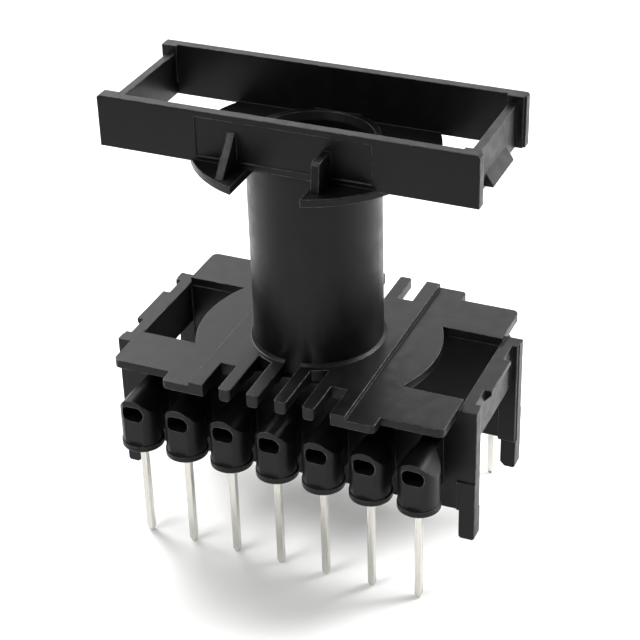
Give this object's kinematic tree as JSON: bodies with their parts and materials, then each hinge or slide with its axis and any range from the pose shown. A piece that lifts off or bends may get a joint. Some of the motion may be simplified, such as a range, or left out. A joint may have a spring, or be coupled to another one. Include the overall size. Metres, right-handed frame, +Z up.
{
  "type": "transformer coil former",
  "caption": "Upright transformer coil former in black plastic: a round winding tube between a comb-slotted lower flange and a rectangular upper core trough, over rows of square solder pins.",
  "frame": {"origin": "on the tube's axis at the level of the pin tips", "axes": "+Z up along the tube, +X along the rows of pins and the core trough, -Y towards the front row of pins"},
  "size_m": [0.0394, 0.0272, 0.0484],
  "materials": {
    "former_plastic": "black glass-filled plastic with a soft moulded sheen",
    "pin_metal": "bright tin plating on square wire"
  },
  "bodies": {
    "root": {"coil_former": "former_plastic", "pin_01": "pin_metal", "pin_02": "pin_metal", "pin_03": "pin_metal", "pin_04": "pin_metal", "pin_05": "pin_metal", "pin_06": "pin_metal", "pin_07": "pin_metal", "pin_08": "pin_metal", "pin_09": "pin_metal", "pin_10": "pin_metal", "pin_11": "pin_metal", "pin_12": "pin_metal", "pin_13": "pin_metal", "pin_14": "pin_metal"}
  },
  "joints": []
}
